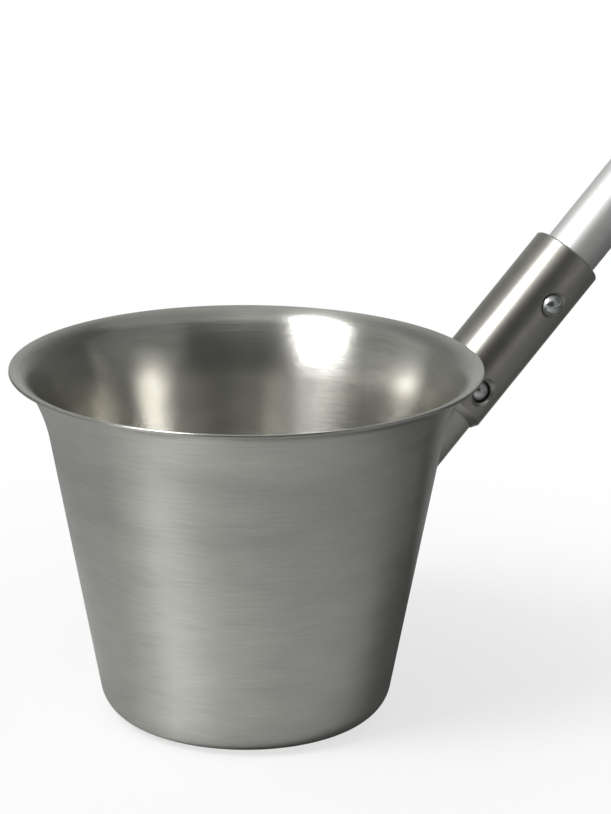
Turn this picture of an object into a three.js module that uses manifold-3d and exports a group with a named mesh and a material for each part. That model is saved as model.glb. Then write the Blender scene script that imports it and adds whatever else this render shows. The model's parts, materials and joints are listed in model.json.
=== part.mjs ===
// A spun steel beaker on a slanted arm. A stub is welded to the wall, a coupling sleeve slides
// over it, and the front end of an aluminium rod slides into the sleeve. A sprung button locks
// each of the two. Millimetres, +Z up, origin at the centre of the base, arm towards +X.

import * as THREE from 'three';
import { mergeVertices } from 'three/addons/utils/BufferGeometryUtils.js';
import Module from 'manifold-3d';

const wasm = await Module();
wasm.setup();

// Beaker
const RIM_RADIUS = 76.25;
const CUP_HEIGHT = 116.55;
const SHEET = 1.0;
const WALL_ANGLE = THREE.MathUtils.degToRad(10.5); // from upright
const FLARE_RADIUS = 54; // outside of the wide curve above the wall
const FLARE_ANGLE = THREE.MathUtils.degToRad(31); // from upright, where the lip's curve begins
const LIP_RADIUS = 8; // outside of the tight curve at the lip
const LIP_ANGLE = THREE.MathUtils.degToRad(84); // from upright, at the edge
const CORNER_RADIUS = 11; // outside, between base and wall

// Clearance that every seat and sliding fit keeps
const SEAT_GAP = 0.3;

// Arm: its axis lies in the XZ plane, and distances along it start at the beaker's axis
const ARM_TILT = THREE.MathUtils.degToRad(45); // from upright
const LIP_CLEARANCE = 2.35; // between the sleeve and the lip above it

// Stub and its weld
const STUB_RADIUS = 10.65;
const STUB_WALL = 1.6;
const STUB_ENGAGEMENT = 25; // length inside the sleeve
const STUB_END_BEVEL = 0.6;
const BEAD_RADIUS = 2;

// Coupling sleeve
const SLEEVE_RADIUS = 12.5;
const SLEEVE_LENGTH = 66;
const SLEEVE_STANDOFF = 3.75; // from the stub's highest seam with the wall
const NOSE_LENGTH = 2.2;
const NOSE_LAND = 0.1;
const SLEEVE_END_BEVEL = 0.5;

// Rod
const ROD_RADIUS = 9.5;
const ROD_WALL = 1.5;
const ROD_LENGTH = 87;
const ROD_PLAY = 0.75; // radial, in the sleeve: the rod lies on the lower side of its bore
const ROD_STANDOFF = 3; // from the stub's end
const ROD_END_BEVEL = 0.4;
const PLUG_HEAD = 2.5;
const PLUG_HEAD_BEVEL = 0.8;
const PLUG_DEPTH = 9;

// Snap buttons and their leaf springs
const BUTTON_RADIUS = 3.6;
const BUTTON_DOME = 2.5;
const STUB_BUTTON_REACH = 1.45; // out of the stub: its dome stays inside the sleeve's hole
const ROD_BUTTON_REACH = 4.8; // out of the rod: its dome stands proud of the sleeve
const BUTTON_CLEARANCE = 0.2; // radial, in its holes through the tubes
const STUB_COUNTERSINK = 1.4; // depth in the sleeve, over the stub's button
const ROD_COUNTERSINK = 1.2; // depth in the sleeve, round the rod's button
const COUNTERSINK_SLOPE = THREE.MathUtils.degToRad(45); // from the hole's axis
const FLANGE_RADIUS = 4.6;
const FLANGE_THICKNESS = 0.8;
const TAIL_RADIUS = 1.3;
const STUB_BUTTON_INSET = 15; // from the stub's end
const ROD_BUTTON_INSET = 19.5; // from the rod's inner end
const STRIP_THICKNESS = 0.6;
const STRIP_WIDTH = 7;
const STRIP_HEEL = 4.5; // past the button's axis
const STRIP_LEG = 9; // from the button's axis to the bend

// Facets
const CUP_SIDES = 72;
const TUBE_SIDES = 48;
const BUTTON_SIDES = 32;
const HOLE_SIDES = 32;
const BEAD_SIDES = 10;
const ARC_STEPS = 4;
const BEND_STEPS = 8;

// The outside of the beaker's wall in section: x is the radius and y the height
const lip = new THREE.Vector2(RIM_RADIUS, CUP_HEIGHT - SHEET * Math.sin(LIP_ANGLE));
const lipCentre = new THREE.Vector2(
  lip.x + LIP_RADIUS * Math.cos(LIP_ANGLE),
  lip.y - LIP_RADIUS * Math.sin(LIP_ANGLE),
);
const lipStart = new THREE.Vector2(
  lipCentre.x - LIP_RADIUS * Math.cos(FLARE_ANGLE),
  lipCentre.y + LIP_RADIUS * Math.sin(FLARE_ANGLE),
);
const flareCentre = new THREE.Vector2(
  lipStart.x + FLARE_RADIUS * Math.cos(FLARE_ANGLE),
  lipStart.y - FLARE_RADIUS * Math.sin(FLARE_ANGLE),
);
const flareStart = new THREE.Vector2(
  flareCentre.x - FLARE_RADIUS * Math.cos(WALL_ANGLE),
  flareCentre.y + FLARE_RADIUS * Math.sin(WALL_ANGLE),
);
const baseRadius = flareStart.x - flareStart.y * Math.tan(WALL_ANGLE);
const cornerCentre = new THREE.Vector2(
  baseRadius + CORNER_RADIUS * (Math.tan(WALL_ANGLE) - 1 / Math.cos(WALL_ANGLE)),
  CORNER_RADIUS,
);

// Places along the arm
const armHeight = lip.y
  - (lip.x * Math.cos(ARM_TILT) + SLEEVE_RADIUS + LIP_CLEARANCE) / Math.sin(ARM_TILT);
const sleeveStart = seamAlongArm(-STUB_RADIUS, 0) + SLEEVE_STANDOFF;
const sleeveEnd = sleeveStart + SLEEVE_LENGTH;
const stubEnd = sleeveStart + STUB_ENGAGEMENT;
const rodStart = stubEnd + ROD_STANDOFF;
const rodEnd = rodStart + ROD_LENGTH;
const stubButtonPlace = stubEnd - STUB_BUTTON_INSET;
const rodButtonPlace = rodStart + ROD_BUTTON_INSET;

// Fits
const stubBore = STUB_RADIUS - STUB_WALL;
const rodBore = ROD_RADIUS - ROD_WALL;
const rodDrop = ROD_PLAY - SEAT_GAP; // how far the rod's axis lies below the sleeve's
const buttonHole = BUTTON_RADIUS + BUTTON_CLEARANCE;
const stubButtonApex = STUB_RADIUS + STUB_BUTTON_REACH;
const rodButtonApex = ROD_RADIUS + ROD_BUTTON_REACH;

const steel = new THREE.MeshStandardMaterial({ color: 0x9b9a93, roughness: 0.38, metalness: 1 });
const weldSteel = new THREE.MeshStandardMaterial({ color: 0x87857d, roughness: 0.45, metalness: 1 });
const sleeveSteel = new THREE.MeshStandardMaterial({ color: 0x8d8a83, roughness: 0.35, metalness: 1 });
const buttonSteel = new THREE.MeshStandardMaterial({ color: 0xd6d6d6, roughness: 0.15, metalness: 1 });
const springSteel = new THREE.MeshStandardMaterial({ color: 0xa8a8a6, roughness: 0.3, metalness: 1 });
const aluminium = new THREE.MeshStandardMaterial({ color: 0xdcdddf, roughness: 0.3, metalness: 1 });
const plastic = new THREE.MeshStandardMaterial({ color: 0x26272a, roughness: 0.6, metalness: 0 });

// Outside radius of the wall at a height
function wallRadius(height) {
  if (height < flareStart.y) return baseRadius + height * Math.tan(WALL_ANGLE);
  if (height < lipStart.y) {
    return flareCentre.x - Math.sqrt(FLARE_RADIUS ** 2 - (height - flareCentre.y) ** 2);
  }
  return lipCentre.x - Math.sqrt(LIP_RADIUS ** 2 - (height - lipCentre.y) ** 2);
}

// Distance along the arm at which a line beside its axis comes out of the wall, by bisection
function seamAlongArm(x, y) {
  let inside = 0;
  let outside = (lip.y - armHeight + x * Math.sin(ARM_TILT)) / Math.cos(ARM_TILT);
  const halvings = 40;
  for (let i = 0; i < halvings; i++) {
    const along = (inside + outside) / 2;
    const out = x * Math.cos(ARM_TILT) + along * Math.sin(ARM_TILT);
    const height = armHeight - x * Math.sin(ARM_TILT) + along * Math.cos(ARM_TILT);
    if (Math.hypot(out, y) < wallRadius(height)) inside = along;
    else outside = along;
  }
  return (inside + outside) / 2;
}

// A body of revolution about Z from a path of radius and height
function turned(path, sides) {
  return closed(new THREE.LatheGeometry(path.getPoints(ARC_STEPS), sides)).rotateX(Math.PI / 2);
}

// A turned body from a plain list of corners, with the outside going up
function turnedCorners(corners, sides) {
  const path = new THREE.Path();
  path.setFromPoints(corners.map(([radius, height]) => new THREE.Vector2(radius, height)));
  return turned(path, sides);
}

// Shared vertices merged, and triangles without area dropped
function closed(geometry) {
  const bare = geometry.clone();
  bare.deleteAttribute('normal');
  bare.deleteAttribute('uv');
  const merged = mergeVertices(bare);
  const corners = merged.index.array;
  const kept = [];
  for (let i = 0; i < corners.length; i += 3) {
    const [a, b, c] = corners.slice(i, i + 3);
    if (a !== b && b !== c && c !== a) kept.push(a, b, c);
  }
  merged.setIndex(kept);
  return merged;
}

function toSolid(geometry) {
  return new wasm.Manifold(new wasm.Mesh({
    numProp: 3,
    vertProperties: new Float32Array(geometry.attributes.position.array),
    triVerts: new Uint32Array(geometry.index.array),
  }));
}

// The first shape with the others cut out of it
function cut(geometry, ...tools) {
  const solid = tools.reduce((left, tool) => left.subtract(toSolid(tool)), toSolid(geometry));
  const mesh = solid.getMesh();
  const made = new THREE.BufferGeometry();
  made.setAttribute('position', new THREE.BufferAttribute(mesh.vertProperties, mesh.numProp));
  made.setIndex(new THREE.BufferAttribute(mesh.triVerts, 1));
  return made;
}

function piece(name, geometry, material) {
  geometry.computeVertexNormals();
  const mesh = new THREE.Mesh(geometry, material);
  mesh.name = name;
  return mesh;
}

// The sheet, base and wall in one, with a raw edge at the lip
function cupShell() {
  const path = new THREE.Path();
  path.moveTo(0, 0);
  path.lineTo(cornerCentre.x, 0);
  path.absarc(cornerCentre.x, cornerCentre.y, CORNER_RADIUS, -Math.PI / 2, -WALL_ANGLE, false);
  path.absarc(flareCentre.x, flareCentre.y, FLARE_RADIUS, Math.PI - WALL_ANGLE, Math.PI - FLARE_ANGLE, true);
  path.absarc(lipCentre.x, lipCentre.y, LIP_RADIUS, Math.PI - FLARE_ANGLE, Math.PI - LIP_ANGLE, true);
  const insideLip = LIP_RADIUS + SHEET;
  const insideFlare = FLARE_RADIUS + SHEET;
  path.absarc(lipCentre.x, lipCentre.y, insideLip, Math.PI - LIP_ANGLE, Math.PI - FLARE_ANGLE, false);
  path.absarc(flareCentre.x, flareCentre.y, insideFlare, Math.PI - FLARE_ANGLE, Math.PI - WALL_ANGLE, false);
  path.absarc(cornerCentre.x, cornerCentre.y, CORNER_RADIUS - SHEET, -WALL_ANGLE, -Math.PI / 2, true);
  path.lineTo(0, SHEET);
  return turned(path, CUP_SIDES);
}

// Everything inside the wall and a seat's gap around it, in the arm's frame, to cut what meets it
function cupClearance() {
  const path = new THREE.Path();
  path.moveTo(0, -SEAT_GAP);
  path.lineTo(cornerCentre.x, -SEAT_GAP);
  const corner = CORNER_RADIUS + SEAT_GAP;
  path.absarc(cornerCentre.x, cornerCentre.y, corner, -Math.PI / 2, -WALL_ANGLE, false);
  const flare = FLARE_RADIUS - SEAT_GAP;
  path.absarc(flareCentre.x, flareCentre.y, flare, Math.PI - WALL_ANGLE, Math.PI - FLARE_ANGLE, true);
  const lipCurve = LIP_RADIUS - SEAT_GAP;
  path.absarc(lipCentre.x, lipCentre.y, lipCurve, Math.PI - FLARE_ANGLE, Math.PI - LIP_ANGLE, true);
  path.lineTo(0, lip.y);
  arm.updateMatrix();
  return turned(path, CUP_SIDES).applyMatrix4(arm.matrix.clone().invert());
}

// Turns a shape about Z, height above a tube's axis, so that it points out of the tube's side
function outOfSide(geometry, place) {
  return geometry.rotateX(Math.PI / 2).translate(0, 0, place);
}

// A round hole from a tube's axis to past its outside
function plainHole(radius, place) {
  return outOfSide(turnedCorners([
    [0, 0],
    [radius, 0],
    [radius, SLEEVE_RADIUS],
    [0, SLEEVE_RADIUS],
  ], HOLE_SIDES), place);
}

// A hole in the sleeve that widens to past its outside
function countersunkHole(depth, place) {
  const narrow = SLEEVE_RADIUS - depth;
  const past = SLEEVE_RADIUS + depth;
  const wide = buttonHole + (past - narrow) * Math.tan(COUNTERSINK_SLOPE);
  return outOfSide(turnedCorners([
    [0, 0],
    [buttonHole, 0],
    [buttonHole, narrow],
    [wide, past],
    [0, past],
  ], HOLE_SIDES), place);
}

function stubTube() {
  const start = seamAlongArm(STUB_RADIUS, 0) - STUB_WALL;
  const tube = turnedCorners([
    [stubBore, start],
    [STUB_RADIUS, start],
    [STUB_RADIUS, stubEnd - STUB_END_BEVEL],
    [STUB_RADIUS - STUB_END_BEVEL, stubEnd],
    [stubBore, stubEnd],
    [stubBore, start],
  ], TUBE_SIDES);
  return cut(tube, cupClearance(), plainHole(buttonHole, stubButtonPlace));
}

// A ring pushed along the arm until it follows the stub's seam, cut clear of wall and stub
function weldBead() {
  const ring = closed(new THREE.TorusGeometry(STUB_RADIUS, BEAD_RADIUS, BEAD_SIDES, TUBE_SIDES));
  const places = ring.attributes.position;
  for (let i = 0; i < places.count; i++) {
    const outwards = new THREE.Vector2(places.getX(i), places.getY(i)).setLength(STUB_RADIUS);
    places.setZ(i, places.getZ(i) + seamAlongArm(outwards.x, outwards.y));
  }
  const stubClearance = turnedCorners([
    [0, 0],
    [STUB_RADIUS + SEAT_GAP, 0],
    [STUB_RADIUS + SEAT_GAP, stubEnd],
    [0, stubEnd],
  ], TUBE_SIDES);
  return cut(ring, cupClearance(), stubClearance);
}

// Bored for the stub below and for the rod above, with a shoulder that stops the stub
function sleeveTube() {
  const lowerBore = STUB_RADIUS + SEAT_GAP;
  const upperBore = ROD_RADIUS + ROD_PLAY;
  const shoulder = stubEnd + SEAT_GAP;
  const tube = turnedCorners([
    [lowerBore, sleeveStart],
    [lowerBore + NOSE_LAND, sleeveStart],
    [SLEEVE_RADIUS, sleeveStart + NOSE_LENGTH],
    [SLEEVE_RADIUS, sleeveEnd - SLEEVE_END_BEVEL],
    [SLEEVE_RADIUS - SLEEVE_END_BEVEL, sleeveEnd],
    [upperBore, sleeveEnd],
    [upperBore, shoulder],
    [lowerBore, shoulder],
    [lowerBore, sleeveStart],
  ], TUBE_SIDES);
  const stubHole = countersunkHole(STUB_COUNTERSINK, stubButtonPlace);
  const rodHole = countersunkHole(ROD_COUNTERSINK, rodButtonPlace);
  return cut(tube, stubHole, rodHole);
}

// In the rod's own frame, whose axis lies a little below the sleeve's
function rodTube() {
  const tube = turnedCorners([
    [rodBore, rodStart],
    [ROD_RADIUS - ROD_END_BEVEL, rodStart],
    [ROD_RADIUS, rodStart + ROD_END_BEVEL],
    [ROD_RADIUS, rodEnd],
    [rodBore, rodEnd],
    [rodBore, rodStart],
  ], TUBE_SIDES);
  return cut(tube, plainHole(buttonHole, rodButtonPlace).translate(-rodDrop, 0, 0));
}

function rodPlug() {
  const seat = rodEnd + SEAT_GAP;
  const spigot = rodBore - SEAT_GAP;
  return turnedCorners([
    [0, rodEnd - PLUG_DEPTH],
    [spigot, rodEnd - PLUG_DEPTH],
    [spigot, seat],
    [ROD_RADIUS, seat],
    [ROD_RADIUS, seat + PLUG_HEAD - PLUG_HEAD_BEVEL],
    [ROD_RADIUS - PLUG_HEAD_BEVEL, seat + PLUG_HEAD],
    [0, seat + PLUG_HEAD],
  ], TUBE_SIDES);
}

// Heights above a tube's axis of the button's flange and of the spring's two legs.
// drop is how far the tube's axis lies beside the button's.
function snapHeights(bore, drop) {
  const flangeTop = Math.sqrt(bore ** 2 - (FLANGE_RADIUS + drop) ** 2) - SEAT_GAP;
  const flangeFoot = flangeTop - FLANGE_THICKNESS;
  const nearLeg = flangeFoot - SEAT_GAP;
  const farLeg = SEAT_GAP - Math.sqrt(bore ** 2 - (STRIP_WIDTH / 2 + drop) ** 2);
  return { flangeTop, flangeFoot, nearLeg, farLeg };
}

// A dome on a shank, with a flange that stops inside the tube and a tail in the spring
function snapButton({ flangeTop, flangeFoot, nearLeg }, apex, place) {
  const tailFoot = nearLeg - STRIP_THICKNESS;
  const domeRadius = (BUTTON_RADIUS ** 2 + BUTTON_DOME ** 2) / (2 * BUTTON_DOME);
  const domeEdge = Math.acos(BUTTON_RADIUS / domeRadius);
  const path = new THREE.Path();
  path.moveTo(0, tailFoot);
  path.lineTo(TAIL_RADIUS, tailFoot);
  path.lineTo(TAIL_RADIUS, flangeFoot);
  path.lineTo(FLANGE_RADIUS, flangeFoot);
  path.lineTo(FLANGE_RADIUS, flangeTop);
  path.lineTo(BUTTON_RADIUS, flangeTop);
  path.absarc(0, apex - domeRadius, domeRadius, domeEdge, Math.PI / 2, false);
  return outOfSide(turned(path, BUTTON_SIDES), place);
}

// A strip bent into a hairpin across the tube. bendSide is the way along the arm that it bends.
function snapSpring({ nearLeg, farLeg }, place, bendSide) {
  const middle = (nearLeg + farLeg) / 2;
  const outer = (nearLeg - farLeg) / 2;
  const inner = outer - STRIP_THICKNESS;
  const heel = -bendSide * STRIP_HEEL;
  const bend = bendSide * STRIP_LEG;
  const bendsBack = bendSide < 0;
  const shape = new THREE.Shape();
  shape.moveTo(heel, nearLeg);
  shape.lineTo(bend, nearLeg);
  shape.absarc(bend, middle, outer, Math.PI / 2, -Math.PI / 2, !bendsBack);
  shape.lineTo(heel, farLeg);
  shape.lineTo(heel, middle - inner);
  shape.absarc(bend, middle, inner, -Math.PI / 2, Math.PI / 2, bendsBack);
  shape.lineTo(heel, middle + inner);
  const strip = closed(new THREE.ExtrudeGeometry(shape, {
    depth: STRIP_WIDTH,
    bevelEnabled: false,
    curveSegments: BEND_STEPS,
  }));
  const alongArm = new THREE.Vector3(0, 0, 1);
  const outOfTube = new THREE.Vector3(0, -1, 0);
  const across = new THREE.Vector3().crossVectors(alongArm, outOfTube);
  strip.translate(0, 0, -STRIP_WIDTH / 2);
  strip.applyMatrix4(new THREE.Matrix4().makeBasis(alongArm, outOfTube, across));
  return cut(strip, plainHole(TAIL_RADIUS + SEAT_GAP, 0)).translate(0, 0, place);
}

const beaker = new THREE.Group();
const arm = new THREE.Group();
arm.position.set(0, 0, armHeight);
arm.rotation.y = ARM_TILT;

const rod = new THREE.Group();
rod.position.x = rodDrop;
rod.add(piece('rod_tube', rodTube(), aluminium));
rod.add(piece('rod_end_plug', rodPlug(), plastic));

const stubSnap = snapHeights(stubBore, 0);
const rodSnap = snapHeights(rodBore, rodDrop);
arm.add(piece('mounting_stub', stubTube(), steel));
arm.add(piece('stub_weld_bead', weldBead(), weldSteel));
arm.add(piece('coupling_sleeve', sleeveTube(), sleeveSteel));
arm.add(piece('stub_snap_button', snapButton(stubSnap, stubButtonApex, stubButtonPlace), buttonSteel));
arm.add(piece('stub_snap_spring', snapSpring(stubSnap, stubButtonPlace, -1), springSteel));
arm.add(piece('rod_snap_button', snapButton(rodSnap, rodButtonApex, rodButtonPlace), buttonSteel));
arm.add(piece('rod_snap_spring', snapSpring(rodSnap, rodButtonPlace, 1), springSteel));
arm.add(rod);

beaker.add(piece('beaker_cup', cupShell(), steel));
beaker.add(arm);

export default beaker;
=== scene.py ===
# The looks of a brushed steel beaker on a slanted arm: its pieces, finishes, light and camera.
# Metres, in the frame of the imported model: +Z up, the arm towards +X, the lock buttons towards -Y.

import json
from math import acos, atan2, cos, hypot, pi, radians, sin, tan, tau

import bmesh
import bpy
from mathutils import Matrix, Vector
from mathutils.bvhtree import BVHTree


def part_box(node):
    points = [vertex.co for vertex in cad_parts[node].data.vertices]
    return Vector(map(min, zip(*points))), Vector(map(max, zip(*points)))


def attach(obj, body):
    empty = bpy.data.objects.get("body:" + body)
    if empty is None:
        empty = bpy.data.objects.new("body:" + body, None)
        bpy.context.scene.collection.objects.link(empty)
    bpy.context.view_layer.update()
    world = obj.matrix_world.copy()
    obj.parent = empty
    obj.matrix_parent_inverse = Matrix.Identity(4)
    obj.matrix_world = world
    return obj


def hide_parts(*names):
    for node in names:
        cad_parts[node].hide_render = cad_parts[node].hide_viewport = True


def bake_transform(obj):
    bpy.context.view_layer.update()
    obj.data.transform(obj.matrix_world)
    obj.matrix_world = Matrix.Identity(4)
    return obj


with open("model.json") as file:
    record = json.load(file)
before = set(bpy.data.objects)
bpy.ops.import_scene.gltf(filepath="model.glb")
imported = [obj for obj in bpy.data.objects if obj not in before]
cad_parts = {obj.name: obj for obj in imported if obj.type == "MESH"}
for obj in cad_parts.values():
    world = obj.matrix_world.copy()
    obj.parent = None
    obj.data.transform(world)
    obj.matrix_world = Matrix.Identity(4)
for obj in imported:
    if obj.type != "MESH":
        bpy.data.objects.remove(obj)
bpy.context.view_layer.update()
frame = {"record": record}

# Beaker
_, cup_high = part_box("beaker_cup")
RIM_RADIUS = cup_high.x
CUP_HEIGHT = cup_high.z
SHEET = 0.001
WALL_ANGLE = radians(10.5)  # from upright
FLARE_RADIUS = 0.054  # the wide curve above the wall
FLARE_ANGLE = radians(31)  # from upright, where the lip's curve begins
LIP_RADIUS = 0.008
LIP_ANGLE = radians(84)  # from upright, at the edge
CORNER_RADIUS = 0.011
LIP_ROUND = 0.00028  # how far the raw edge of the lip is rounded off

# Arm: distances along it start at the beaker's axis
ARM_TILT = radians(45)
ROD_DROP = 0.00045  # how far the rod lies below the middle of the sleeve
SLEEVE_START = 0.10533
SLEEVE_END = 0.17133
STUB_END = 0.13033
ROD_START = 0.13333
ROD_END = 0.22033
STUB_BUTTON_PLACE = 0.11533
ROD_BUTTON_PLACE = 0.15283

# Tubes
STUB_RADIUS = 0.01065
STUB_BORE = 0.00905
STUB_BEVEL = 0.0006
STUB_SINK = 0.0003  # how far the stub and its weld reach into the sheet
BEAD_RADIUS = 0.002
BEAD_RIPPLES = 46
BEAD_FULLNESS = 0.95  # this and the next two are shares of the bead's radius
BEAD_RIPPLE_HEIGHT = 0.07
BEAD_WANDER = 0.1
BEAD_RIPPLE_DRIFT = 0.4  # how unevenly the ripples follow each other
SLEEVE_RADIUS = 0.0125
SLEEVE_LOWER_BORE = 0.01095
SLEEVE_UPPER_BORE = 0.01025
SLEEVE_SHOULDER = 0.13063
SLEEVE_NOSE = 0.0022
SLEEVE_NOSE_LAND = 0.0001
SLEEVE_BEVEL = 0.0005
ROD_RADIUS = 0.0095
ROD_BORE = 0.008
ROD_BEVEL = 0.0004
PLUG_SPIGOT = 0.0077
PLUG_DEPTH = 0.009
PLUG_SEAT = 0.0003
PLUG_HEAD = 0.0025
PLUG_HEAD_BEVEL = 0.0008
EDGE_ROUND = 0.00012
PLUG_ROUND = 2 * EDGE_ROUND
BUTTON_ROUND = 1.5 * EDGE_ROUND

# Snap buttons and springs: heights are above the middle of the arm, towards -Y
BUTTON_RADIUS = 0.0036
BUTTON_DOME = 0.0025
FLANGE_RADIUS = 0.0046
FLANGE_THICKNESS = 0.0008
TAIL_RADIUS = 0.0013
SEAT_GAP = 0.0003
BUTTON_HOLE = 0.0038
STUB_COUNTERSINK = 0.0014
ROD_COUNTERSINK = 0.0012
COUNTERSINK_SLOPE = radians(45)
STRIP_THICKNESS = 0.0006
STRIP_WIDTH = 0.007
STRIP_HEEL = 0.0045
STRIP_LEG = 0.009
STUB_SNAP = {"apex": 0.0121, "flange": 0.007494, "far_leg": -0.008046, "place": STUB_BUTTON_PLACE}
ROD_SNAP = {"apex": 0.0143, "flange": 0.005905, "far_leg": -0.006657, "place": ROD_BUTTON_PLACE}

# Fineness of the meshes
CUP_SIDES = 288
TUBE_SIDES = 224
BUTTON_SIDES = 96
HOLE_SIDES = 128
BEAD_STEPS = 276
BEAD_SECTION_STEPS = 24
ARC_STEPS = 28
ROUND_STEPS = 3
LIP_ROUND_STEPS = 4
STRIP_ROUND_STEPS = 2
STAGE_SIDES = 96
MERGE = 1e-7  # points closer than this are one point
SLIVER = 1e-6  # the same, where edges have been rounded
SHARP = radians(28)

# Camera, from the fit of the beaker's outline
CAMERA_PLACE = Vector((-0.4546, -0.8762, 0.3977))
CAMERA_HEADING = radians(28.52)
CAMERA_PITCH = radians(16.635)
CAMERA_ROLL = radians(0.485)
CAMERA_LENS = 141.5
CAMERA_SENSOR = 36

# Finishes: marks per metre, and the share of each mark in a metal's tone and relief
HANDLING_CLOUDS = 28.0
PIT_CLOUDS = 1000.0
BUTTON_CLOUDS = 420.0
PLUG_CLOUDS = 120.0
PLUG_GRAIN_CLOUDS = 2600.0
CLOUD_DETAIL = 3.0
CLOUD_DISTORTION = 0.6
LINES_IN_TONE = 0.6
BANDS_IN_TONE = 0.45
CLOUDS_IN_TONE = 0.15
TONE_SPREAD = (-0.6, 1.6)  # past 0 and 1, for more contrast
PITS_IN_RELIEF = 0.5
SCORES_IN_RELIEF = 1.7
SCORE_LINES_SHARE = 0.3  # scores are wider apart than the lines, and shorter
SCORE_TURNS_SHARE = 1.6
RELIEF_DEPTH = 0.0001
ROUGH_CHANGE = 0.01
SHINE_TURN = 0.25  # a quarter turn, so that the shine stretches across the brushing

# Studio: bearings are from the camera's side of the beaker, positive to the right
LIGHT_TARGET = Vector((0, 0, 0.09))
KEY_BEARING = radians(-51.6)
KEY_ELEVATION = radians(56)
KEY_DISTANCE = 1.46
KEY_WIDTH = 0.43
KEY_HEIGHT = 1.22
KEY_RADIANCE = 16.4  # what a mirror would show
KEY_COLOUR = (0.99, 0.99, 1.0)
FLOOR_RADIUS = 4.0
FLOOR_COLOUR = (0.86, 0.86, 0.85)
FADE_START = 0.06
FADE_END = 0.32
FADE_LEAST = 0.7  # how much of the floor is plain white even beside the beaker
FILL_STRENGTH = 0.43
STUDIO_TINT = (0.97, 1.0, 0.985)
TENT_RADIUS = 2.2
TENT_TOP_RADIUS = 1.4
TENT_HEIGHT = 1.8
TABLE_CARD_RADIUS = 1.6
TABLE_CARD_HEIGHT = 0.0004
TABLE_NEAR = 0.07
TABLE_FAR = 0.35
TABLE_NEAR_SHARE = 0.95
TABLE_FAR_SHARE = 0.5
# painted shade: the table's grey is darkened right beside the beaker, where the beaker's shadow falls
CONTACT_NEAR = 0.05  # the beaker's own shade on the table
CONTACT_FAR = 0.088
CONTACT_SHARE = 0.78
# this moves the painted light and shade on the table
SWING_NEAR = 0.05  # the table's tones swing to the right close to the beaker
SWING_FAR = 0.14
SWING_ANGLE = radians(18)

# Tones that the metal sees: pairs of a bearing in degrees and a grey. They are painted reflections: the
# tent glows with its greys though it is no lamp, and the table's greys carry painted light and shade
TENT_WALL_TONES = [
    # painted highlights: the bright band from -63 to -47 stands in for the lower part of the key light, and
    # the one from -113 to -103 adds a highlight inside the beaker on its right
    (-180, 0.5), (-150, 0.22), (-124, 0.22), (-113, 0.43), (-103, 0.43), (-96, 0.32),
    (-70, 0.3), (-63, 0.85), (-47, 0.85), (-41, 0.04), (36, 0.03), (43, 0.2),
    (90, 0.18), (104, 0.08), (144, 0.13), (162, 0.24), (180, 0.5),
]
TENT_CEILING_TONES = [
    (-180, 0.5), (-130, 0.25), (-60, 0.52), (0, 0.62), (60, 0.33), (150, 0.3), (180, 0.5),
]
# painted light and shade: the table's greys are lighter towards the key light, brightest about -51, and
# darker on the right, where the beaker's shadow falls
TABLE_LIGHT_AND_SHADE_TONES = [
    (-180, 0.6), (-112, 0.48), (-81, 0.49), (-62, 0.67), (-51, 0.82), (-41, 0.76), (-27, 0.62),
    (-12, 0.55), (8, 0.49), (37, 0.44), (67, 0.37), (100, 0.26), (125, 0.2), (180, 0.6),
]


# Sections and turned shapes

def arc(centre, radius, start, end, steps=ARC_STEPS):
    """Points of an arc in a section, from one angle to another."""
    angles = [start + (end - start) * i / steps for i in range(steps + 1)]
    return [(centre[0] + radius * cos(a), centre[1] + radius * sin(a)) for a in angles]


def turned(section, sides):
    """A body spun about Z from points of radius and height."""
    bm = bmesh.new()
    verts = [bm.verts.new((radius, 0, height)) for radius, height in section]
    edges = [bm.edges.new(pair) for pair in zip(verts, verts[1:])]
    bmesh.ops.spin(
        bm,
        geom=verts + edges,
        cent=(0, 0, 0),
        axis=(0, 0, 1),
        angle=tau,
        steps=sides,
        use_merge=True,
    )
    bmesh.ops.remove_doubles(bm, verts=bm.verts, dist=MERGE)
    bmesh.ops.dissolve_degenerate(bm, edges=bm.edges, dist=MERGE)
    bmesh.ops.recalc_face_normals(bm, faces=bm.faces)
    return bm


def soften(bm, width, segments=ROUND_STEPS):
    """Rounds every sharp edge, and closes the slivers that this leaves."""
    edges = [e for e in bm.edges if len(e.link_faces) == 2 and e.calc_face_angle() > SHARP]
    bmesh.ops.bevel(
        bm,
        geom=edges,
        offset=width,
        segments=segments,
        profile=0.5,
        affect="EDGES",
        material=-1,
        clamp_overlap=True,
    )
    bmesh.ops.remove_doubles(bm, verts=bm.verts, dist=SLIVER)
    return bm


def moved(bm, matrix):
    bmesh.ops.transform(bm, matrix=matrix, verts=bm.verts)
    return bm


def as_object(name, bm):
    mesh = bpy.data.meshes.new(name)
    bm.to_mesh(mesh)
    bm.free()
    made = bpy.data.objects.new(name, mesh)
    bpy.context.scene.collection.objects.link(made)
    return made


def cut(bm, *tools):
    """The shape with the tools' shapes taken away."""
    body = as_object("cut_body", bm)
    cutters = [as_object("cut_tool", tool) for tool in tools]
    for cutter in cutters:
        taking = body.modifiers.new("cut", "BOOLEAN")
        taking.operation = "DIFFERENCE"
        taking.solver = "EXACT"
        taking.object = cutter
    made = bmesh.new()
    made.from_object(body, bpy.context.evaluated_depsgraph_get())
    for spent in [body, *cutters]:
        mesh = spent.data
        bpy.data.objects.remove(spent)
        bpy.data.meshes.remove(mesh)
    bmesh.ops.remove_doubles(made, verts=made.verts, dist=MERGE)
    return made


def unroll(bm):
    """A UV map that runs round the Z axis, for the direction of the brushing."""
    layer = bm.loops.layers.uv.new("around")
    for face in bm.faces:
        middle = face.calc_center_median()
        facing = atan2(middle.y, middle.x)
        for loop in face.loops:
            place = loop.vert.co
            turn = (atan2(place.y, place.x) - facing + pi) % tau - pi
            loop[layer].uv = ((facing + turn) / tau, hypot(place.x, place.y) + place.z)


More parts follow.
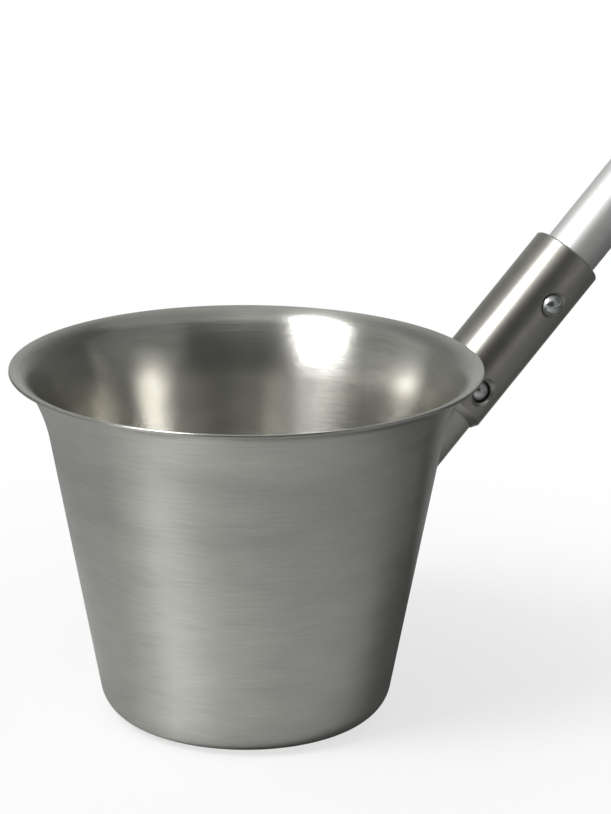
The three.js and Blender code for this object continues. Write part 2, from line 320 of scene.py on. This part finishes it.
def piece(name, bm, material, node, body="beaker", place=Matrix.Identity(4)):
    """A finished piece that stands for a node of the frame and rides on a body."""
    unroll(bm)
    moved(bm, place)
    made = as_object(name, bm)
    for face in made.data.polygons:
        face.use_smooth = True
    made.data.set_sharp_from_angle(angle=SHARP)
    made.data.materials.append(material)
    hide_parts(node)
    if body:
        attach(made, body)
    return made


# The beaker's section

lip = Vector((RIM_RADIUS, CUP_HEIGHT - SHEET * sin(LIP_ANGLE)))
lip_centre = lip + LIP_RADIUS * Vector((cos(LIP_ANGLE), -sin(LIP_ANGLE)))
lip_start = lip_centre + LIP_RADIUS * Vector((-cos(FLARE_ANGLE), sin(FLARE_ANGLE)))
flare_centre = lip_start + FLARE_RADIUS * Vector((cos(FLARE_ANGLE), -sin(FLARE_ANGLE)))
flare_start = flare_centre + FLARE_RADIUS * Vector((-cos(WALL_ANGLE), sin(WALL_ANGLE)))
base_radius = flare_start.x - flare_start.y * tan(WALL_ANGLE)
corner_centre = Vector((
    base_radius + CORNER_RADIUS * (tan(WALL_ANGLE) - 1 / cos(WALL_ANGLE)),
    CORNER_RADIUS,
))

rod_end = Vector(next(m["pos_m"] for m in frame["record"]["mounts"] if m["name"] == "rod_end"))
ARM_HEIGHT = rod_end.z - rod_end.x + 2 * ROD_DROP * sin(ARM_TILT)
ARM = Matrix.Translation((0, 0, ARM_HEIGHT)) @ Matrix.Rotation(ARM_TILT, 4, "Y")


def cup_side(inset):
    """The section's outside from the base's middle to the lip, moved into the sheet by an inset."""
    corner = arc(corner_centre, CORNER_RADIUS - inset, -pi / 2, -WALL_ANGLE)
    flare = arc(flare_centre, FLARE_RADIUS + inset, pi - WALL_ANGLE, pi - FLARE_ANGLE)
    edge = arc(lip_centre, LIP_RADIUS + inset, pi - FLARE_ANGLE, pi - LIP_ANGLE)
    return [(0, inset)] + corner + flare + edge[1:]


def beaker_cup():
    outside = cup_side(0)
    inside = cup_side(SHEET)
    return soften(turned(outside + inside[::-1], CUP_SIDES), LIP_ROUND, LIP_ROUND_STEPS)


def inside_of_cup(inset):
    """Everything within the wall, in the arm's own frame, to cut what meets the wall."""
    bm = turned(cup_side(inset) + [(0, lip.y)], CUP_SIDES)
    return moved(bm, ARM.inverted())


# The arm's pieces, in the arm's own frame

def out_of_side(bm, place):
    """Turns a shape about Z so that it points out of the arm's side."""
    return moved(bm, Matrix.Translation((0, 0, place)) @ Matrix.Rotation(pi / 2, 4, "X"))


def plain_hole(radius, place):
    outline = [(0, 0), (radius, 0), (radius, SLEEVE_RADIUS), (0, SLEEVE_RADIUS)]
    return out_of_side(turned(outline, HOLE_SIDES), place)


def countersunk_hole(depth, place):
    narrow = SLEEVE_RADIUS - depth
    past = SLEEVE_RADIUS + depth
    wide = BUTTON_HOLE + (past - narrow) * tan(COUNTERSINK_SLOPE)
    outline = [(0, 0), (BUTTON_HOLE, 0), (BUTTON_HOLE, narrow), (wide, past), (0, past)]
    return out_of_side(turned(outline, HOLE_SIDES), place)


def seam_finder():
    """A function that gives where a line along the arm meets the outside of the wall."""
    wall = moved(turned(cup_side(0), CUP_SIDES), ARM.inverted())
    tree = BVHTree.FromBMesh(wall)
    wall.free()

    def seam(angle):
        start = Vector((STUB_RADIUS * cos(angle), STUB_RADIUS * sin(angle), SLEEVE_START))
        return tree.ray_cast(start, Vector((0, 0, -1)))[0].z

    return seam


def mounting_stub(seam):
    start = seam(0) - (STUB_RADIUS - STUB_BORE)
    tube = turned([
        (STUB_BORE, start),
        (STUB_RADIUS, start),
        (STUB_RADIUS, STUB_END - STUB_BEVEL),
        (STUB_RADIUS - STUB_BEVEL, STUB_END),
        (STUB_BORE, STUB_END),
        (STUB_BORE, start),
    ], TUBE_SIDES)
    soften(tube, EDGE_ROUND)
    return cut(tube, inside_of_cup(STUB_SINK), plain_hole(BUTTON_HOLE, STUB_BUTTON_PLACE))


def weld_bead(seam):
    """A rippled ring along the stub's seam."""
    bm = turned(arc((STUB_RADIUS, 0), BEAD_RADIUS, 0, tau, BEAD_SECTION_STEPS), BEAD_STEPS)
    for vert in bm.verts:
        angle = atan2(vert.co.y, vert.co.x)
        core = Vector((STUB_RADIUS * cos(angle), STUB_RADIUS * sin(angle), 0))
        drift = BEAD_RIPPLE_DRIFT * sin(5 * angle)
        ripple = BEAD_RIPPLE_HEIGHT * abs(sin(angle * BEAD_RIPPLES / 2 + drift))
        wander = BEAD_WANDER * (sin(3 * angle + 1) + 0.6 * sin(7 * angle)) / 2
        size = BEAD_FULLNESS + ripple + wander
        vert.co = core + (vert.co - core) * size + Vector((0, 0, seam(angle)))
    inner = STUB_RADIUS - STUB_SINK
    stub = turned([(0, 0), (inner, 0), (inner, STUB_END), (0, STUB_END)], TUBE_SIDES)
    return cut(bm, inside_of_cup(STUB_SINK), stub)


def coupling_sleeve():
    tube = turned([
        (SLEEVE_LOWER_BORE, SLEEVE_START),
        (SLEEVE_LOWER_BORE + SLEEVE_NOSE_LAND, SLEEVE_START),
        (SLEEVE_RADIUS, SLEEVE_START + SLEEVE_NOSE),
        (SLEEVE_RADIUS, SLEEVE_END - SLEEVE_BEVEL),
        (SLEEVE_RADIUS - SLEEVE_BEVEL, SLEEVE_END),
        (SLEEVE_UPPER_BORE, SLEEVE_END),
        (SLEEVE_UPPER_BORE, SLEEVE_SHOULDER),
        (SLEEVE_LOWER_BORE, SLEEVE_SHOULDER),
        (SLEEVE_LOWER_BORE, SLEEVE_START),
    ], TUBE_SIDES)
    soften(tube, EDGE_ROUND)
    stub_hole = countersunk_hole(STUB_COUNTERSINK, STUB_BUTTON_PLACE)
    rod_hole = countersunk_hole(ROD_COUNTERSINK, ROD_BUTTON_PLACE)
    return cut(tube, stub_hole, rod_hole)


def rod_tube():
    tube = turned([
        (ROD_BORE, ROD_START),
        (ROD_RADIUS - ROD_BEVEL, ROD_START),
        (ROD_RADIUS, ROD_START + ROD_BEVEL),
        (ROD_RADIUS, ROD_END),
        (ROD_BORE, ROD_END),
        (ROD_BORE, ROD_START),
    ], TUBE_SIDES)
    soften(tube, EDGE_ROUND)
    hole = moved(plain_hole(BUTTON_HOLE, ROD_BUTTON_PLACE), Matrix.Translation((-ROD_DROP, 0, 0)))
    return cut(tube, hole)


def rod_plug():
    seat = ROD_END + PLUG_SEAT
    face = seat + PLUG_HEAD
    plug = turned([
        (0, ROD_END - PLUG_DEPTH),
        (PLUG_SPIGOT, ROD_END - PLUG_DEPTH),
        (PLUG_SPIGOT, seat),
        (ROD_RADIUS, seat),
        (ROD_RADIUS, face - PLUG_HEAD_BEVEL),
        (ROD_RADIUS - PLUG_HEAD_BEVEL, face),
        (0, face),
    ], TUBE_SIDES)
    return soften(plug, PLUG_ROUND)


def snap_button(snap):
    """A dome on a shank, with a flange inside the tube and a tail in the spring."""
    flange_foot = snap["flange"] - FLANGE_THICKNESS
    tail_foot = flange_foot - SEAT_GAP - STRIP_THICKNESS
    dome_radius = (BUTTON_RADIUS ** 2 + BUTTON_DOME ** 2) / (2 * BUTTON_DOME)
    dome_edge = acos(BUTTON_RADIUS / dome_radius)
    dome = arc((0, snap["apex"] - dome_radius), dome_radius, dome_edge, pi / 2)
    button = turned([
        (0, tail_foot),
        (TAIL_RADIUS, tail_foot),
        (TAIL_RADIUS, flange_foot),
        (FLANGE_RADIUS, flange_foot),
        (FLANGE_RADIUS, snap["flange"]),
        (BUTTON_RADIUS, snap["flange"]),
    ] + dome, BUTTON_SIDES)
    return out_of_side(soften(button, BUTTON_ROUND), snap["place"])


def snap_spring(snap, bend_side):
    """A strip bent into a hairpin across the tube. bend_side is the way along the arm that it bends."""
    near_leg = snap["flange"] - FLANGE_THICKNESS - SEAT_GAP
    middle = (near_leg + snap["far_leg"]) / 2
    outer = (near_leg - snap["far_leg"]) / 2
    inner = outer - STRIP_THICKNESS
    bend = (STRIP_LEG, middle)
    outline = [(-STRIP_HEEL, near_leg)] + arc(bend, outer, pi / 2, -pi / 2)
    outline += [(-STRIP_HEEL, snap["far_leg"]), (-STRIP_HEEL, middle - inner)]
    outline += arc(bend, inner, -pi / 2, pi / 2) + [(-STRIP_HEEL, middle + inner)]
    bm = bmesh.new()
    verts = [bm.verts.new((-STRIP_WIDTH / 2, -height, bend_side * along)) for along, height in outline]
    side = bm.faces.new(verts)
    grown = bmesh.ops.extrude_face_region(bm, geom=[side])
    far_side = [v for v in grown["geom"] if isinstance(v, bmesh.types.BMVert)]
    bmesh.ops.translate(bm, verts=far_side, vec=(STRIP_WIDTH, 0, 0))
    bmesh.ops.recalc_face_normals(bm, faces=bm.faces)
    soften(bm, EDGE_ROUND, STRIP_ROUND_STEPS)
    strip = cut(bm, plain_hole(TAIL_RADIUS + SEAT_GAP, 0))
    return moved(strip, Matrix.Translation((0, 0, snap["place"])))


# Finishes

def node(tree, kind, **settings):
    made = tree.nodes.new(kind)
    for key, value in settings.items():
        setattr(made, key, value)
    return made


def maths(tree, operation, first, second):
    """A Math node on two sockets or numbers, as its output."""
    made = node(tree, "ShaderNodeMath", operation=operation)
    for socket, value in zip(made.inputs, (first, second)):
        if isinstance(value, (int, float)):
            socket.default_value = value
        else:
            tree.links.new(value, socket)
    return made.outputs[0]


def weighted(tree, *pairs):
    """The sum of sockets times their weights, as a socket."""
    total = 0.0
    for socket, weight in pairs:
        total = maths(tree, "ADD", maths(tree, "MULTIPLY", socket, weight), total)
    return total


def spread(tree, value, low, high, start=0.0, end=1.0, interpolation="LINEAR"):
    """A value between start and end laid over the range from low to high, as a socket."""
    made = node(tree, "ShaderNodeMapRange", interpolation_type=interpolation)
    made.inputs["From Min"].default_value = start
    made.inputs["From Max"].default_value = end
    made.inputs["To Min"].default_value = low
    made.inputs["To Max"].default_value = high
    tree.links.new(value, made.inputs["Value"])
    return made.outputs["Result"]


def brushed_lines_group():
    """Fine lines round the Z axis, and the broad bands that the polishing leaves."""
    tree = bpy.data.node_groups.new("brushed_lines", "ShaderNodeTree")
    sockets = tree.interface
    sockets.new_socket(name="Vector", in_out="INPUT", socket_type="NodeSocketVector")
    sockets.new_socket(name="Lines Per Metre", in_out="INPUT", socket_type="NodeSocketFloat")
    sockets.new_socket(name="Turns Apart", in_out="INPUT", socket_type="NodeSocketFloat")
    sockets.new_socket(name="Lines", in_out="OUTPUT", socket_type="NodeSocketFloat")
    sockets.new_socket(name="Bands", in_out="OUTPUT", socket_type="NodeSocketFloat")
    given = node(tree, "NodeGroupInput")
    result = node(tree, "NodeGroupOutput")
    flat = node(tree, "ShaderNodeVectorMath", operation="MULTIPLY")
    flat.inputs[1].default_value = (1, 1, 0)
    tree.links.new(given.outputs["Vector"], flat.inputs[0])
    radius = node(tree, "ShaderNodeVectorMath", operation="LENGTH")
    tree.links.new(flat.outputs[0], radius.inputs[0])
    facing = node(tree, "ShaderNodeVectorMath", operation="NORMALIZE")
    tree.links.new(flat.outputs[0], facing.inputs[0])
    parts = node(tree, "ShaderNodeSeparateXYZ")
    tree.links.new(given.outputs["Vector"], parts.inputs[0])
    along = maths(tree, "ADD", radius.outputs["Value"], parts.outputs["Z"])
    turned_by = node(tree, "ShaderNodeVectorMath", operation="SCALE")
    tree.links.new(facing.outputs[0], turned_by.inputs[0])
    tree.links.new(given.outputs["Turns Apart"], turned_by.inputs["Scale"])
    sides = node(tree, "ShaderNodeSeparateXYZ")
    tree.links.new(turned_by.outputs[0], sides.inputs[0])
    for name, share, spacing, detail in (("Lines", 1.0, 1.0, 3.0), ("Bands", 0.035, 0.4, 2.0)):
        place = node(tree, "ShaderNodeCombineXYZ")
        for side in ("X", "Y"):
            tree.links.new(maths(tree, "MULTIPLY", sides.outputs[side], spacing), place.inputs[side])
        height = maths(tree, "MULTIPLY", along, given.outputs["Lines Per Metre"])
        tree.links.new(maths(tree, "MULTIPLY", height, share), place.inputs["Z"])
        noise = node(tree, "ShaderNodeTexNoise")
        noise.inputs["Scale"].default_value = 1.0
        noise.inputs["Detail"].default_value = detail
        tree.links.new(place.outputs[0], noise.inputs["Vector"])
        tree.links.new(noise.outputs["Fac"], result.inputs[name])
    return tree


def handling_group():
    """Soft clouds where the surface has been handled and wiped."""
    tree = bpy.data.node_groups.new("handling_marks", "ShaderNodeTree")
    sockets = tree.interface
    sockets.new_socket(name="Vector", in_out="INPUT", socket_type="NodeSocketVector")
    sockets.new_socket(name="Clouds Per Metre", in_out="INPUT", socket_type="NodeSocketFloat")
    sockets.new_socket(name="Clouds", in_out="OUTPUT", socket_type="NodeSocketFloat")
    given = node(tree, "NodeGroupInput")
    result = node(tree, "NodeGroupOutput")
    noise = node(tree, "ShaderNodeTexNoise")
    noise.inputs["Detail"].default_value = CLOUD_DETAIL
    noise.inputs["Distortion"].default_value = CLOUD_DISTORTION
    tree.links.new(given.outputs["Vector"], noise.inputs["Vector"])
    tree.links.new(given.outputs["Clouds Per Metre"], noise.inputs["Scale"])
    tree.links.new(noise.outputs["Fac"], result.inputs["Clouds"])
    return tree


BRUSHED_LINES = brushed_lines_group()
HANDLING_MARKS = handling_group()


def placed_group(tree, group, vector, **values):
    made = node(tree, "ShaderNodeGroup", node_tree=group)
    tree.links.new(vector, made.inputs["Vector"])
    for name, value in values.items():
        made.inputs[name.replace("_", " ")].default_value = value
    return made


def blank_material(name):
    material = bpy.data.materials.new(name)
    material.use_nodes = True
    tree = material.node_tree
    return material, tree, tree.nodes["Principled BSDF"]


def axis_vector(tree, on_arm):
    """Object coordinates, turned for a piece of the arm so that its axis is Z."""
    coordinates = node(tree, "ShaderNodeTexCoord")
    if not on_arm:
        return coordinates.outputs["Object"]
    back = ARM.inverted()
    mapping = node(tree, "ShaderNodeMapping")
    mapping.inputs["Location"].default_value = back.to_translation()
    mapping.inputs["Rotation"].default_value = back.to_euler()
    tree.links.new(coordinates.outputs["Object"], mapping.inputs["Vector"])
    return mapping.outputs[0]


def two_tones(tree, shader, dark, light, factor):
    """A base colour that goes from dark to light with a factor."""
    colour = node(tree, "ShaderNodeMix", data_type="RGBA")
    colour.inputs["A"].default_value = (*dark, 1)
    colour.inputs["B"].default_value = (*light, 1)
    tree.links.new(factor, colour.inputs["Factor"])
    tree.links.new(colour.outputs["Result"], shader.inputs["Base Color"])


def relief(tree, shader, height, strength):
    bump = node(tree, "ShaderNodeBump")
    bump.inputs["Strength"].default_value = strength
    bump.inputs["Distance"].default_value = RELIEF_DEPTH
    tree.links.new(height, bump.inputs["Height"])
    tree.links.new(bump.outputs[0], shader.inputs["Normal"])


def brushed_metal(name, dark, light, rough, anisotropy, lines, turns, on_arm=True, grain=0.1):
    """Metal brushed round its axis: lines, bands and clouds change its tone, pits and scores its relief."""
    material, tree, shader = blank_material(name)
    vector = axis_vector(tree, on_arm)
    brushed = placed_group(tree, BRUSHED_LINES, vector, Lines_Per_Metre=lines, Turns_Apart=turns)
    handled = placed_group(tree, HANDLING_MARKS, vector, Clouds_Per_Metre=HANDLING_CLOUDS)
    tone = weighted(
        tree,
        (brushed.outputs["Lines"], LINES_IN_TONE),
        (brushed.outputs["Bands"], BANDS_IN_TONE),
        (handled.outputs["Clouds"], CLOUDS_IN_TONE),
    )
    two_tones(tree, shader, dark, light, spread(tree, tone, *TONE_SPREAD))
    wiped = spread(tree, handled.outputs["Clouds"], rough - ROUGH_CHANGE, rough + ROUGH_CHANGE)
    tree.links.new(wiped, shader.inputs["Roughness"])
    shader.inputs["Metallic"].default_value = 1.0
    shader.inputs["Anisotropic"].default_value = anisotropy
    shader.inputs["Anisotropic Rotation"].default_value = SHINE_TURN
    tangent = node(tree, "ShaderNodeTangent", direction_type="UV_MAP", uv_map="around")
    tree.links.new(tangent.outputs[0], shader.inputs["Tangent"])
    pits = placed_group(tree, HANDLING_MARKS, vector, Clouds_Per_Metre=PIT_CLOUDS)
    scores = placed_group(
        tree,
        BRUSHED_LINES,
        vector,
        Lines_Per_Metre=lines * SCORE_LINES_SHARE,
        Turns_Apart=turns * SCORE_TURNS_SHARE,
    )
    height = weighted(
        tree,
        (pits.outputs["Clouds"], PITS_IN_RELIEF),
        (scores.outputs["Lines"], SCORES_IN_RELIEF),
    )
    relief(tree, shader, height, grain)
    return material


def polished_steel():
    material, tree, shader = blank_material("polished_button_steel")
    vector = axis_vector(tree, True)
    handled = placed_group(tree, HANDLING_MARKS, vector, Clouds_Per_Metre=BUTTON_CLOUDS)
    shader.inputs["Base Color"].default_value = (0.8, 0.81, 0.83, 1)
    shader.inputs["Metallic"].default_value = 1.0
    tree.links.new(spread(tree, handled.outputs["Clouds"], 0.16, 0.26), shader.inputs["Roughness"])
    return material


def moulded_plastic():
    material, tree, shader = blank_material("moulded_plug_plastic")
    vector = axis_vector(tree, True)
    handled = placed_group(tree, HANDLING_MARKS, vector, Clouds_Per_Metre=PLUG_CLOUDS)
    two_tones(tree, shader, (0.018, 0.018, 0.02), (0.035, 0.035, 0.038), handled.outputs["Clouds"])
    tree.links.new(spread(tree, handled.outputs["Clouds"], 0.42, 0.6), shader.inputs["Roughness"])
    grain = placed_group(tree, HANDLING_MARKS, vector, Clouds_Per_Metre=PLUG_GRAIN_CLOUDS)
    relief(tree, shader, grain.outputs["Clouds"], 0.35)
    return material


# Studio

def bearing_matrix():
    """Turns the studio so that its +X is the camera's side of the beaker."""
    return Matrix.Rotation(atan2(CAMERA_PLACE.y, CAMERA_PLACE.x), 4, "Z")


def key_softbox():
    """An upright panel of soft light that faces the beaker."""
    light = bpy.data.lights.new("key_softbox", "AREA")
    light.shape = "RECTANGLE"
    light.size = KEY_WIDTH
    light.size_y = KEY_HEIGHT
    light.energy = KEY_RADIANCE * pi * KEY_WIDTH * KEY_HEIGHT
    light.color = KEY_COLOUR
    lamp = bpy.data.objects.new("key_softbox", light)
    bpy.context.scene.collection.objects.link(lamp)
    level = cos(KEY_ELEVATION)
    away = Vector((cos(KEY_BEARING) * level, sin(KEY_BEARING) * level, sin(KEY_ELEVATION)))
    away = bearing_matrix() @ away
    lamp.location = LIGHT_TARGET + away * KEY_DISTANCE
    lamp.rotation_mode = "QUATERNION"
    lamp.rotation_quaternion = Vector((away.x, away.y, 0)).to_track_quat("Z", "Y")
    lamp.visible_camera = False


def seen_directly(tree):
    """1 for rays from the camera, from gloss and through glass, as a socket."""
    path = node(tree, "ShaderNodeLightPath")
    seen = maths(tree, "MAXIMUM", path.outputs["Is Camera Ray"], path.outputs["Is Glossy Ray"])
    return maths(tree, "MAXIMUM", seen, path.outputs["Is Transmission Ray"])


def white_surroundings():
    world = bpy.data.worlds.new("white_surroundings")
    bpy.context.scene.world = world
    world.use_nodes = True
    tree = world.node_tree
    background = tree.nodes["Background"]
    background.inputs["Color"].default_value = (1, 1, 1, 1)
    strength = spread(tree, seen_directly(tree), FILL_STRENGTH, 1.0)
    tree.links.new(strength, background.inputs["Strength"])


def place_and_distance(tree):
    """Object coordinates and their distance from the origin, as sockets."""
    coordinates = node(tree, "ShaderNodeTexCoord")
    distance = node(tree, "ShaderNodeVectorMath", operation="LENGTH")
    tree.links.new(coordinates.outputs["Object"], distance.inputs[0])
    return coordinates.outputs["Object"], distance.outputs["Value"]


def disc(radius, height):
    bm = bmesh.new()
    bmesh.ops.create_circle(bm, cap_ends=True, segments=STAGE_SIDES, radius=radius)
    bmesh.ops.translate(bm, verts=bm.verts, vec=(0, 0, height))
    return bm


def floor():
    """A pale floor that keeps the shadow near the beaker and fades to white further out."""
    made = as_object("floor", disc(FLOOR_RADIUS, 0))
    material, tree, shader = blank_material("pale_floor")
    shader.inputs["Base Color"].default_value = (*FLOOR_COLOUR, 1)
    shader.inputs["Roughness"].default_value = 1.0
    shader.inputs["Specular IOR Level"].default_value = 0.0
    _, distance = place_and_distance(tree)
    fade = spread(tree, distance, FADE_LEAST, 1.0, FADE_START, FADE_END, "SMOOTHSTEP")
    white = node(tree, "ShaderNodeEmission")
    mix = node(tree, "ShaderNodeMixShader")
    tree.links.new(maths(tree, "MULTIPLY", fade, seen_directly(tree)), mix.inputs["Fac"])
    tree.links.new(shader.outputs[0], mix.inputs[1])
    tree.links.new(white.outputs[0], mix.inputs[2])
    tree.links.new(mix.outputs[0], tree.nodes["Material Output"].inputs["Surface"])
    made.data.materials.append(material)


def only_in_reflections(made):
    made.visible_camera = False
    made.visible_diffuse = False
    made.visible_transmission = False
    made.visible_shadow = False


def bearing_tones(tree, stops, vector):
    """A grey that follows the bearing of a vector: stops are pairs of a bearing in degrees and a tone."""
    turn = node(tree, "ShaderNodeMapping")
    turn.inputs["Rotation"].default_value = bearing_matrix().inverted().to_euler()
    tree.links.new(vector, turn.inputs["Vector"])
    around = node(tree, "ShaderNodeTexGradient", gradient_type="RADIAL")
    tree.links.new(turn.outputs[0], around.inputs["Vector"])
    ramp = node(tree, "ShaderNodeValToRGB")
    points = ramp.color_ramp.elements
    while len(points) < len(stops):
        points.new(0.5)
    for point, (bearing, tone) in zip(points, stops):
        point.position = 0.5 + bearing / 360
        point.color = (*[tone * share for share in STUDIO_TINT], 1)
    tree.links.new(around.outputs["Fac"], ramp.inputs["Fac"])
    return ramp.outputs["Color"]


def glowing_card(name, bm, stops):
    """A card that only the metal sees, with its own even glow though it is no lamp: its greys are painted
    reflections.
    """
    card = as_object(name, bm)
    material, tree, shader = blank_material(name + "_grey")
    shader.inputs["Base Color"].default_value = (0, 0, 0, 1)
    shader.inputs["Specular IOR Level"].default_value = 0.0
    coordinates = node(tree, "ShaderNodeTexCoord")
    tones = bearing_tones(tree, stops, coordinates.outputs["Object"])
    tree.links.new(tones, shader.inputs["Emission Color"])
    shader.inputs["Emission Strength"].default_value = 1.0
    card.data.materials.append(material)
    only_in_reflections(card)


def tent():
    """Glowing grey walls and a ceiling, dark in front of the beaker and lighter behind it, with bright
    bands that stand in for light: painted reflections for the metal.
    """
    bm = bmesh.new()
    bmesh.ops.create_cone(
        bm,
        cap_ends=False,
        segments=STAGE_SIDES,
        radius1=TENT_RADIUS,
        radius2=TENT_TOP_RADIUS,
        depth=TENT_HEIGHT,
    )
    bmesh.ops.translate(bm, verts=bm.verts, vec=(0, 0, TENT_HEIGHT / 2))
    glowing_card("tent_walls", bm, TENT_WALL_TONES)
    glowing_card("tent_ceiling", disc(TENT_TOP_RADIUS, TENT_HEIGHT), TENT_CEILING_TONES)


def table_card():
    """A grey table that only the metal sees, lit by the key light, with painted light and shade in its
    greys: darker beside the beaker and far out.
    """
    card = as_object("table_card", disc(TABLE_CARD_RADIUS, TABLE_CARD_HEIGHT))
    material, tree, shader = blank_material("table_card_grey")
    shader.inputs["Roughness"].default_value = 1.0
    shader.inputs["Specular IOR Level"].default_value = 0.0
    place, distance = place_and_distance(tree)
    swing = spread(tree, distance, -SWING_ANGLE, 0.0, SWING_NEAR, SWING_FAR)
    swung = node(tree, "ShaderNodeVectorRotate", rotation_type="Z_AXIS")
    tree.links.new(place, swung.inputs["Vector"])
    tree.links.new(swing, swung.inputs["Angle"])
    tones = bearing_tones(tree, TABLE_LIGHT_AND_SHADE_TONES, swung.outputs["Vector"])
    # the greys darken further out, and right beside the beaker with painted shade
    dimming = spread(tree, distance, TABLE_NEAR_SHARE, TABLE_FAR_SHARE, TABLE_NEAR, TABLE_FAR)
    painted_contact_shade = spread(tree, distance, CONTACT_SHARE, 1.0, CONTACT_NEAR, CONTACT_FAR)
    dimmed = node(tree, "ShaderNodeVectorMath", operation="SCALE")
    tree.links.new(tones, dimmed.inputs[0])
    tree.links.new(maths(tree, "MULTIPLY", dimming, painted_contact_shade), dimmed.inputs["Scale"])
    tree.links.new(dimmed.outputs[0], shader.inputs["Base Color"])
    card.data.materials.append(material)
    only_in_reflections(card)


def camera():
    data = bpy.data.cameras.new("camera")
    data.lens = CAMERA_LENS
    data.sensor_width = CAMERA_SENSOR
    made = bpy.data.objects.new("camera", data)
    bpy.context.scene.collection.objects.link(made)
    turn = Matrix.Rotation(-CAMERA_HEADING, 4, "Z") @ Matrix.Rotation(pi / 2 - CAMERA_PITCH, 4, "X")
    made.matrix_world = Matrix.Translation(CAMERA_PLACE) @ turn @ Matrix.Rotation(CAMERA_ROLL, 4, "Z")
    bpy.context.scene.camera = made


# The object

cup_steel = brushed_metal(
    "brushed_cup_steel", dark=(0.51, 0.5, 0.465), light=(0.7, 0.686, 0.638),
    rough=0.258, anisotropy=0.9, lines=2600.0, turns=5.0, on_arm=False, grain=0.28,
)
stub_steel = brushed_metal(
    "drawn_stub_steel", dark=(0.66, 0.64, 0.59), light=(0.81, 0.79, 0.735),
    rough=0.42, anisotropy=0.5, lines=3800.0, turns=3.0,
)
weld_steel = brushed_metal(
    "weld_steel", dark=(0.32, 0.29, 0.25), light=(0.5, 0.47, 0.43),
    rough=0.4, anisotropy=0.2, lines=900.0, turns=6.0,
)
sleeve_steel = brushed_metal(
    "turned_sleeve_steel", dark=(0.49, 0.465, 0.425), light=(0.63, 0.6, 0.55),
    rough=0.34, anisotropy=0.5, lines=4200.0, turns=3.0,
)
rod_metal = brushed_metal(
    "rod_aluminium", dark=(0.84, 0.835, 0.815), light=(0.92, 0.915, 0.895),
    rough=0.55, anisotropy=0.0, lines=4200.0, turns=3.0,
)
spring_steel = brushed_metal(
    "rolled_spring_steel", dark=(0.45, 0.45, 0.44), light=(0.6, 0.6, 0.58),
    rough=0.34, anisotropy=0.4, lines=3000.0, turns=3.0,
)
button_steel = polished_steel()
plug_plastic = moulded_plastic()

seam = seam_finder()
rod_place = ARM @ Matrix.Translation((ROD_DROP, 0, 0))

piece("brushed_beaker_cup", beaker_cup(), cup_steel, "beaker_cup")
piece("coped_stub", mounting_stub(seam), stub_steel, "mounting_stub", place=ARM)
piece("rippled_weld_bead", weld_bead(seam), weld_steel, "stub_weld_bead", place=ARM)
piece("turned_sleeve", coupling_sleeve(), sleeve_steel, "coupling_sleeve", place=ARM)
piece("drawn_rod", rod_tube(), rod_metal, "rod_tube", place=rod_place)
piece("moulded_rod_plug", rod_plug(), plug_plastic, "rod_end_plug", place=rod_place)

for which, snap, bend_side in (("stub", STUB_SNAP, -1), ("rod", ROD_SNAP, 1)):
    body = which + "_button"
    piece(
        "domed_" + body, snap_button(snap), button_steel, which + "_snap_button",
        body=body, place=ARM,
    )
    spring = piece(
        "hairpin_" + which + "_spring", snap_spring(snap, bend_side), spring_steel,
        which + "_snap_spring", body=None, place=ARM,
    )
    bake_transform(spring)

camera()
white_surroundings()
floor()
tent()
table_card()
key_softbox()

bpy.context.scene.view_settings.view_transform = "Standard"
